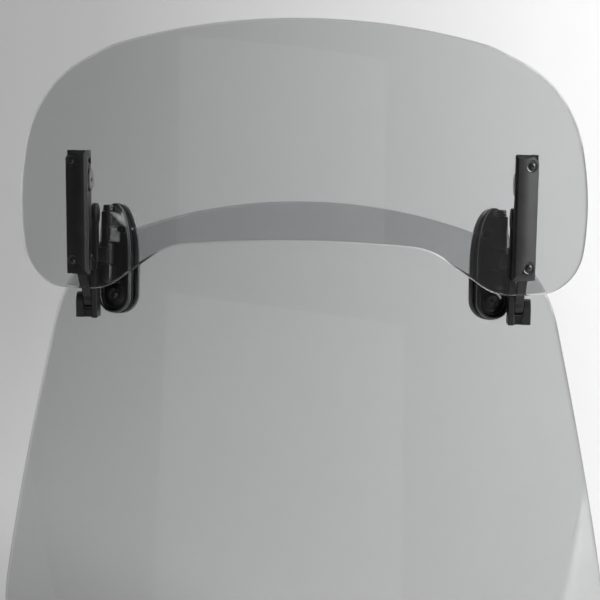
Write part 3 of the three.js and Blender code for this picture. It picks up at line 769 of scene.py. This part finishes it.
# ---------- bracket pieces clamped to the screen ----------
def flat_pad(width, length, back, front, edge):
    angles = np.linspace(0, math.pi / 2, 5)
    rounded = [(edge * (1 - math.sin(a)), edge * (1 - math.cos(a))) for a in angles]
    profile = [(inset, back + depth) for inset, depth in rounded]
    profile += [(inset, front - depth) for inset, depth in reversed(rounded)]
    return pad(width, length, profile)


def screw_tools(front, back):
    """Cutters for the base screws' holes, from the distance forward to the distance back."""
    return [bar("y", BASE_SCREW["hole"], -front, back, across, up, 0)
            for across, up, _ in BASE_SCREWS.values()]


def barrel(radius, z0, z1, edge=0.35):
    return bar("z", radius, z0, z1, BARREL["across"], -BARREL["out"], edge)


def barrel_ring(z, scale=1.0, steps=24):
    r = BARREL["radius"] * scale
    turns = [2 * math.pi * k / steps for k in range(steps)]
    return [(BARREL["across"] + r * math.cos(a), -BARREL["out"] + r * math.sin(a), z) for a in turns]


def hood_dome(width, length):
    """Rounded upper end of the base, rising from the rim to the swivel barrel."""
    points = barrel_ring(BARREL_ENDS["top"] - 0.5, 0.93) + barrel_ring(HOOD["dome_ring"])
    for k in range(49):
        angle = math.pi * k / 48
        across, up = math.cos(angle) * width / 2, math.sin(angle) * length / 2
        for scale, forward in HOOD_RINGS:
            if up * scale > HOOD["dome_start"]:
                points.append((across * scale, -forward, up * scale))
    return hull(points)


def hood_ridge():
    """Flank that carries the barrel down to the swivel joint, open to a pocket on its inner side."""
    low, high = BARREL_ENDS["upper"] + 0.4, HOOD["ridge_top"]
    points = barrel_ring(low) + barrel_ring(high)
    for z in (low, high):
        outer = 0.93 * BASE["width"] / 2 * math.sqrt(1 - (2 * z / BASE["length"]) ** 2)
        points += [(-4.8, -2.4, z), (-5.0, -8.2, z)]
        points += [(outer, -2.4, z), (outer, -5.6, z), (outer - 0.6, -8.0, z)]
    return hull(points)


def lower_lug():
    top, bottom = BARREL_ENDS["lower"], BARREL_ENDS["bottom"]
    points = barrel_ring(top) + barrel_ring(bottom + 2.6) + barrel_ring(bottom + 0.7, 0.8)
    foot_half, foot_y = 4.2, -BASE["floor"] + 0.5
    points += [(BARREL["across"] + side * foot_half, foot_y, z)
               for side in (-1, 1) for z in (top, bottom + 1)]
    return hull(points)


def base():
    """Moulded oval with a raised rim, screw bosses, the domed hood and the two swivel lugs."""
    width, length, back = BASE["width"], BASE["length"], BASE["back"]
    rim, floor, wall = BASE["rim"], BASE["floor"], BASE["wall"]
    shell = pad(width, length, [
        (0.7, back), (0.15, back + 0.3), (0, back + 0.9), (0, rim - 1.2), (0.25, rim - 0.5), (0.8, rim - 0.1),
        (wall - 0.5, rim), (wall, rim - 0.5), (wall + 0.2, floor + 0.5), (wall + 0.6, floor),
    ])
    across, up, head = BASE_SCREWS["lower"]
    boss = bar("y", head + 1.5, -BASE_SCREW["bottom"] - 1.0, -back - 0.5, across, up, 0.3)
    step = bar("y", head + 2.9, -floor - 0.7, -back - 0.5, across, up, 0.2)
    across, up, head = BASE_SCREWS["upper"]
    upper_boss = bar("y", head + 0.6, -rim - 1.2, -back - 0.5, across, up, 0.3)
    upper_lug = barrel(BARREL["radius"], BARREL_ENDS["upper"], BARREL_ENDS["top"], 0.5)
    body = moulded(0.34, 4, shell, boss, step, upper_boss, hood_dome(width, length), hood_ridge(), upper_lug,
                   lower_lug())
    tools = [bar("y", head + 0.2, -14, -BASE_SCREW["bottom"] + GAP, across, up, 0)
             for across, up, head in BASE_SCREWS.values()]
    tools += screw_tools(9, 0)
    tools.append(barrel(BARREL["bore"], BARREL_ENDS["bottom"] - 1, BARREL_ENDS["top"] + 1, 0))
    tools.append(barrel(BARREL["radius"] + GAP, BARREL_ENDS["lower"], BARREL_ENDS["upper"], 0))
    tools.append(barrel(BARREL["radius"] + GAP, BARREL_ENDS["top"], BARREL_ENDS["top"] + 14, 0))
    return carved(body, *tools)


def base_screw(across, up, head):
    shank, top, bottom, tip = (BASE_SCREW[k] for k in ("shank", "top", "bottom", "tip"))
    button = head * 0.42
    profile = [(0, top), (button * 0.7, top - 0.05), (button, top - 0.4), (button + 0.3, top - 1.1),
               (head - 0.4, top - 1.1), (head, top - 0.8), (head, bottom), (shank, bottom), (shank, -tip),
               (0, -tip)]
    return socketed(profile, 0.15, 0.8, button * 0.5, across, up)


def swivel_pin():
    top, bottom = BARREL_ENDS["top"] + GAP, BARREL_ENDS["bottom"]
    r, end = CAP["radius"], top + CAP["height"]
    profile = [(0, -bottom + 0.6), (BARREL["pin"], -bottom + 0.6), (BARREL["pin"], -top), (r, -top),
               (r, -top - 1.2), (r * 0.88, -top - 1.5), (r * 0.88, -top - 2.0), (r * 0.98, -top - 2.3),
               (r * 0.84, -end), (0, -end)]
    mesh = moved(lathe(fillet(profile, 0.3)), Matrix.Rotation(math.pi / 2, 4, "X"))
    x, y = BARREL["across"], -BARREL["out"]
    mesh = moved(mesh, Matrix.Translation((x, y, 0)))
    return carved(mesh, block(x - 0.5, x + 0.5, y - 6, y + 6, end - 0.7, end + 1))


def add_clamped_pieces():
    start, width, length = BACKING["start"], BACKING["width"], BACKING["length"]
    plate_start = start + GASKET["thickness"] + GAP
    plate = flat_pad(width, length, -plate_start - BACKING["thickness"], -plate_start, BACKING["edge"])
    inset = 2 * BACKING["margin"]
    rear = flat_pad(width - inset, length - inset, -start - GASKET["thickness"], -start, 0.3)
    front = flat_pad(GASKET["width"], GASKET["length"], GAP, GAP + GASKET["thickness"], 0.3)
    pair("backing_plate", carved(plate, *screw_tools(-4, 10)), SEAT_FRAME, "satin_steel")
    pair("rear_gasket", carved(rear, *screw_tools(0, 8)), SEAT_FRAME, "rubber")
    pair("front_gasket", carved(front, *screw_tools(3, 0)), SEAT_FRAME, "rubber")
    pair("base", base(), SEAT_FRAME, "gloss_plastic", smooth=55)
    for name, (across, up, head) in BASE_SCREWS.items():
        pair(f"base_screw_{name}", base_screw(across, up, head), SEAT_FRAME, "black_steel")
    pair("swivel_pin", swivel_pin(), SEAT_FRAME, "black_steel")


# ---------- linkage, in the blade frame ----------
def side_link():
    """Swivel barrel, side plate with a round eye at its top, and forked foot."""
    start, end, disc = PLATE["start"], PLATE["end"], PLATE["disc"]
    inner_end, outer, outer_end = FORK["inner_end"], FORK["outer"], FORK["outer_end"]
    upper_y, upper_z = PIVOTS["link_upper"]
    lower_y, lower_z = PIVOTS["link_lower"]
    disc_z = upper_z + PLATE["disc_rise"]
    eye_z = lower_z - FORK_EYE["drop"]
    foot = lower_z - FORK_FOOT["drop"]
    plate_front, plate_back = upper_y - PLATE["front"], upper_y + PLATE["back"]
    front, back = lower_y - FORK["front"], lower_y + FORK["back"]
    knuckle = barrel(BARREL["radius"], BARREL_ENDS["lower"] + GAP, BARREL_ENDS["upper"] - GAP, 0.8)
    body = moulded(
        0.3, 3,
        bar("x", disc, start, end, upper_y, disc_z, 0.5),
        block(start, end, plate_front, plate_back, lower_z, disc_z),
        block(BRIDGE["start"], start + 0.5, upper_y - BRIDGE["half_depth"], upper_y + BRIDGE["half_depth"],
              BRIDGE["bottom"], BRIDGE["top"], 0.8),
        moved(knuckle, SEAT_IN_BLADE),
        block(start, inner_end, lower_y - CHEEK["front"], plate_back, foot, lower_z + CHEEK["rise"]),
        bar("x", FORK_EYE["radius"], outer, outer_end, lower_y, eye_z, 0.3),
        block(outer, outer_end, front, back, foot, eye_z),
        block(start, outer_end, front, plate_back, foot, foot + FORK_FOOT["height"]),
    )
    bore = barrel(BARREL["bore"], BARREL_ENDS["lower"] - 4, BARREL_ENDS["upper"] + 4, 0)
    slot = block(FORK_SLOT["start"], FORK_SLOT["end"], front - 3, front + FORK_SLOT["depth"], foot - 1,
                 foot + FORK_SLOT["height"])
    upper_bore = bar("x", PIVOT["bore"], start - 1, end + 1, upper_y, upper_z, 0)
    lower_bore = bar("x", PIVOT["bore"], start - 1, outer_end + 1, lower_y, lower_z, 0)
    recess = bar("x", PIVOT["head"] + GAP, lower_bolt_seat() - GAP, outer_end + 1, lower_y, lower_z, 0)
    return carved(body, moved(bore, SEAT_IN_BLADE), slot, upper_bore, lower_bore, recess)


def lower_bolt_seat():
    return FORK["outer_end"] - PIVOT["rise"] - 0.2


def lever(which):
    rear_y, rear_z = PIVOTS[f"link_{which}"]
    front_y, front_z = PIVOTS[f"rail_{which}"]
    start, end, web = LEVER["start"], LEVER["end"], LEVER["web"]
    length = math.hypot(front_y - rear_y, front_z - rear_z)
    angle = math.atan2(front_z - rear_z, front_y - rear_y)
    turn = Matrix.Translation((0, rear_y, rear_z)) @ Matrix.Rotation(angle, 4, "X")
    web_block = moved(block(start, end, 0, length, -web, web), turn)
    eyes = [bar("x", LEVER["rear_eye"], start, end, rear_y, rear_z, 0.3),
            bar("x", PIVOT["eye"], start, end, front_y, front_z, 0.3)]
    body = moulded(0.3, 3, web_block, *eyes)
    half, depth = LEVER_POCKET["half"], LEVER_POCKET["depth"]
    pockets = [moved(block(x0, x1, length * 0.3, length * 0.7, -half, half, 0.5), turn)
               for x0, x1 in ((start - 2, start + depth), (end - depth, end + 2))]
    bores = [bar("x", PIVOT["bore"], start - 1, end + 1, y, z, 0)
             for y, z in ((rear_y, rear_z), (front_y, front_z))]
    return carved(body, *bores, *pockets)


def headed_pin(head, rise, seat, tip, y, z):
    """Pin along x with a rounded head at its seat, and a hexagon socket in the head."""
    side = math.copysign(1, seat - tip)
    pin, reach = PIVOT["pin"], abs(seat - tip)
    profile = [(0, rise), (head - 0.7, rise), (head, rise - 0.5), (head, 0), (pin, 0), (pin, -reach),
               (0, -reach)]
    mesh = socketed(profile, 0.25, PIVOT_SOCKET["depth"], PIVOT_SOCKET["radius"])
    turn = Matrix.Rotation(math.pi / 2 * side, 4, "Z")
    return moved(mesh, Matrix.Translation((seat, y, z)) @ turn)


def washer(outer, inner, x0, x1, y, z):
    profile = [(inner, -x0), (outer, -x0), (outer, -x1), (inner, -x1), (inner, -x0)]
    mesh = lathe([*fillet(profile, 0.15, 2)[:-1], profile[0]])
    return moved(mesh, Matrix.Translation((0, y, z)) @ Matrix.Rotation(-math.pi / 2, 4, "Z"))


def add_linkage():
    pair("side_link", side_link(), BLADE_FRAME, "black_plastic", smooth=50)
    for which in ("upper", "lower"):
        pair(f"{which}_lever", lever(which), BLADE_FRAME, "black_plastic", f"{which}_lever", smooth=50)
    head, rise, tip = PIVOT["head"], PIVOT["rise"], PLATE["start"] + 0.4
    y, z = PIVOTS["link_upper"]
    washer_start = LEVER["end"] + GAP
    washer_end = washer_start + WASHER["thickness"]
    friction = washer(WASHER["radius"], PIVOT["bore"], washer_start, washer_end, y, z)
    pair("friction_washer", friction, BLADE_FRAME, "bright_steel")
    bolt = headed_pin(head, rise, washer_end + GAP, tip, y, z)
    pair("pivot_bolt_upper", bolt, BLADE_FRAME, "black_steel")
    bolt = headed_pin(head, rise, lower_bolt_seat(), tip, *PIVOTS["link_lower"])
    pair("pivot_bolt_lower", bolt, BLADE_FRAME, "black_steel")


# ---------- rails and cover strips ----------
def rail_bracket():
    """Channel whose front face follows the blade, open to the rear for the levers."""
    start, end, wall = RAIL["start"], RAIL["end"], RAIL["wall"]
    back, web = RAIL["back"], RAIL["web"]
    x, y, yaw = blade_section(STRIP_SEAT)
    pad_back = BLADE["thickness"] + 3 * GAP + PAD["thickness"]

    def front_at(px):
        return y + pad_back / math.cos(yaw) + (px - x) * math.tan(yaw)

    section = [(start, front_at(start)), (end, front_at(end)), (end, back), (end - wall, back),
               (end - wall, web), (start + wall, web), (start + wall, back), (start, back)]
    body = prism(section, RAIL["bottom"], RAIL["top"], 0.35)
    tools = [bar("x", PIVOT["pin"] + 0.1, start - 1, end + 1, *PIVOTS[f"rail_{which}"], 0)
             for which in ("upper", "lower")]
    to_blade = BLADE_FRAME.inverted() @ STRIP_FRAME
    tools += [moved(bar("y", STRIP_SCREW["hole"], 0, 20, STRIP_SCREW["across"], up, 0), to_blade)
              for up in STRIP_SCREWS.values()]
    chamfer = moved(block(start - 1, end + 1, -6, 6, -6, 6), Matrix.Rotation(math.pi / 4, 4, "X"))
    tools.append(moved(chamfer, Matrix.Translation((0, back + 2, RAIL["bottom"] - 3))))
    return carved(body, *tools)


def cover_strip():
    """Ridged strip with a sloping facet at its lower end and chamfers at its upper end."""
    half, flange, bulge = STRIP["width"] / 2, STRIP["flange"], STRIP["bulge"]
    bottom, top = STRIP["bottom"], STRIP["top"]
    rise = bulge - flange - 0.1
    crest = [(half - 1.4 - (2 * half - 1.8) * t, -flange - 0.1 - rise * math.sin(t * math.pi * 0.7))
             for t in np.linspace(0, 1, 18)]
    section = [(half, -GAP), (half, -flange + 0.5), *crest, (-half, -flange + 0.1), (-half, -GAP)]
    body = prism(section, bottom, top, 0.35)
    tools = []
    for up in STRIP_SCREWS.values():
        tools.append(bar("y", STRIP_SCREW["head"] + 0.3, -8, -flange, STRIP_SCREW["across"], up, 0))
        tools.append(bar("y", STRIP_SCREW["hole"], -8, 2, STRIP_SCREW["across"], up, 0))
    facet = bottom + STRIP_FACET
    low = [(-half - 1, bottom - 1), (half + 1, bottom - 1), (half + 1, facet), (STRIP_SCREW["across"], facet)]
    wedge = [(x, -flange, z) for x, z in low] + [(x - 2.2, -bulge - 2, z + 2.2) for x, z in low]
    tools.append(hull(wedge))
    high = [(half + 1, top - 5.5), (half - 5.5, top + 1), (half + 6, top + 1), (half + 1, top + 6)]
    tools.append(hull([(x, y, z) for x, z in high for y in (-bulge - 2, GAP + 1)]))
    turn = Matrix.Translation((0, -bulge - 0.4, top + 0.4)) @ Matrix.Rotation(math.pi / 4, 4, "X")
    tools.append(moved(block(-half - 1, half + 1, -2, 2, -2, 2), turn))
    return carved(body, *tools)


def strip_screw(up):
    across, shank, head = STRIP_SCREW["across"], STRIP_SCREW["shank"], STRIP_SCREW["head"]
    seat = STRIP["flange"] + GAP
    top, end = seat + STRIP_SCREW["rise"], seat - STRIP_SCREW["length"]
    dome = dome_curve(1.5, top - 0.5, 0.5, 6)
    profile = [*dome, (1.9, seat + 0.7), (head - 0.5, seat + 0.6), (head, seat + 0.9), (head, seat),
               (shank, seat), (shank, end), (0, end)]
    body = moved(lathe(profile), Matrix.Translation((across, 0, up)))
    return carved(body, hexagon(STRIP_SOCKET["radius"], -top - 1, STRIP_SOCKET["depth"] - top, across, up))


def rail_pad():
    back = BLADE["thickness"] + GAP
    half = PAD["width"] / 2
    body = block(-half, half, back, back + PAD["thickness"], STRIP["bottom"] + 2, STRIP["top"] - 2, 0.25)
    tools = [bar("y", STRIP_SCREW["hole"], 0, 9, STRIP_SCREW["across"], up, 0)
             for up in STRIP_SCREWS.values()]
    return carved(body, *tools)


def add_rails():
    pair("rail_bracket", rail_bracket(), BLADE_FRAME, "black_plastic", "spoiler")
    pair("rail_pad", rail_pad(), STRIP_FRAME, "rubber", "spoiler")
    pair("cover_strip", cover_strip(), STRIP_FRAME, "black_plastic", "spoiler")
    for name, up in STRIP_SCREWS.items():
        pair(f"strip_screw_{name}", strip_screw(up), STRIP_FRAME, "black_steel", "spoiler")
    for which in ("upper", "lower"):
        seat, tip = RAIL["start"] - GAP, RAIL["end"] + RAIL_PIN["reach"]
        pin = headed_pin(RAIL_PIN[which], RAIL_PIN["rise"], seat, tip, *PIVOTS[f"rail_{which}"])
        pair(f"rail_pin_{which}", pin, BLADE_FRAME, "black_steel", "spoiler")


# ---------- floor, lights and camera ----------
def paper(left, right):
    """Pale paper with painted shade that darkens its colour towards the left, and a slight mottle in its
    roughness.
    """
    material, nodes, links, shader = new_material("pale_paper_painted_shade")
    place = nodes.new("ShaderNodeTexCoord")
    axes = nodes.new("ShaderNodeSeparateXYZ")
    links.new(place.outputs["Object"], axes.inputs["Vector"])
    # painted shade: the base colour runs from the darker left grey to the right grey across the backdrop, in
    # place of light falling off towards the left
    across = spread(nodes, links, axes.outputs["X"], 0, 1, -0.4, 0.3)
    painted_shade_ramp = nodes.new("ShaderNodeValToRGB")
    painted_shade_ramp.color_ramp.elements[0].color = (left, left, left, 1)
    painted_shade_ramp.color_ramp.elements[1].color = (right, right, right, 1)
    links.new(across, painted_shade_ramp.inputs["Fac"])
    links.new(painted_shade_ramp.outputs["Color"], shader.inputs["Base Color"])
    mottle = noise(nodes, links, 2, 3)
    links.new(spread(nodes, links, mottle, 0.85, 0.95), shader.inputs["Roughness"])
    shader.inputs["Specular IOR Level"].default_value = 0.1
    return material


def add_studio():
    """Pale floor that curves up into a backdrop."""
    low = cad_box[0][2] - BACKDROP["below"]
    depth, bend, half = BACKDROP["depth"], BACKDROP["bend"], BACKDROP["half"]
    path = [(-BACKDROP["front"], low), (depth - bend, low)]
    path += [(depth - bend + bend * math.sin(a), low + bend * (1 - math.cos(a)))
             for a in np.linspace(0.1, math.pi / 2, 16)]
    path += [(depth, low + BACKDROP["height"])]
    verts = [(x, y, z) for x in (-half, half) for y, z in path]
    count = len(path)
    faces = [(i, i + 1, count + i + 1, count + i) for i in range(count - 1)]
    mesh = bpy.data.meshes.new("backdrop")
    mesh.from_pydata(verts, [], faces)
    for polygon in mesh.polygons:
        polygon.use_smooth = True
    mesh.materials.append(paper(PAINTED_SHADE_PAPER["left"], PAINTED_SHADE_PAPER["right"]))
    backdrop = bpy.data.objects.new("backdrop", mesh)
    bpy.context.scene.collection.objects.link(backdrop)


def add_light(name, place, aim, size, power):
    data = bpy.data.lights.new(name, "AREA")
    data.shape = "RECTANGLE"
    data.size, data.size_y = size
    data.energy = power
    lamp = bpy.data.objects.new(name, data)
    lamp.location = place
    lamp.rotation_euler = (Vector(aim) - Vector(place)).to_track_quat("-Z", "Y").to_euler()
    bpy.context.scene.collection.objects.link(lamp)


def add_lights():
    world = bpy.data.worlds.new("studio")
    world.use_nodes = True
    nodes, links = world.node_tree.nodes, world.node_tree.links
    place = nodes.new("ShaderNodeTexCoord")
    axes = nodes.new("ShaderNodeSeparateXYZ")
    links.new(place.outputs["Generated"], axes.inputs["Vector"])
    nodes["Background"].inputs["Color"].default_value = (1, 1, 1, 1)
    light = spread(nodes, links, axes.outputs["X"], WORLD["left"], WORLD["right"], -0.6, 0.5)
    links.new(light, nodes["Background"].inputs["Strength"])
    bpy.context.scene.world = world
    for name, settings in LIGHTS.items():
        add_light(name, *settings)


def add_camera():
    side, pitch, roll = (math.radians(CAMERA[k]) for k in ("side", "pitch", "roll"))
    back = Vector((math.sin(side) * math.cos(pitch), -math.cos(side) * math.cos(pitch), math.sin(pitch)))
    right = Vector((math.cos(side), math.sin(side), 0))
    up = back.cross(right)
    aim = Vector(CAMERA["aim"])
    place = BLADE_FRAME @ (aim + back * CAMERA["away"])
    turn = BLADE_FRAME.to_3x3().normalized()
    axes = Matrix([turn @ right, turn @ up, turn @ back]).transposed().to_4x4()
    data = bpy.data.cameras.new("camera")
    data.lens = CAMERA["lens"]
    data.sensor_width = 36
    camera = bpy.data.objects.new("camera", data)
    camera.matrix_world = Matrix.Translation(place) @ axes @ Matrix.Rotation(roll, 4, "Z")
    bpy.context.scene.collection.objects.link(camera)
    bpy.context.scene.camera = camera


add_sheets()
add_fixings()
add_clamped_pieces()
add_linkage()
add_rails()
add_studio()
add_lights()
add_camera()
bpy.context.scene.view_settings.view_transform = "Standard"
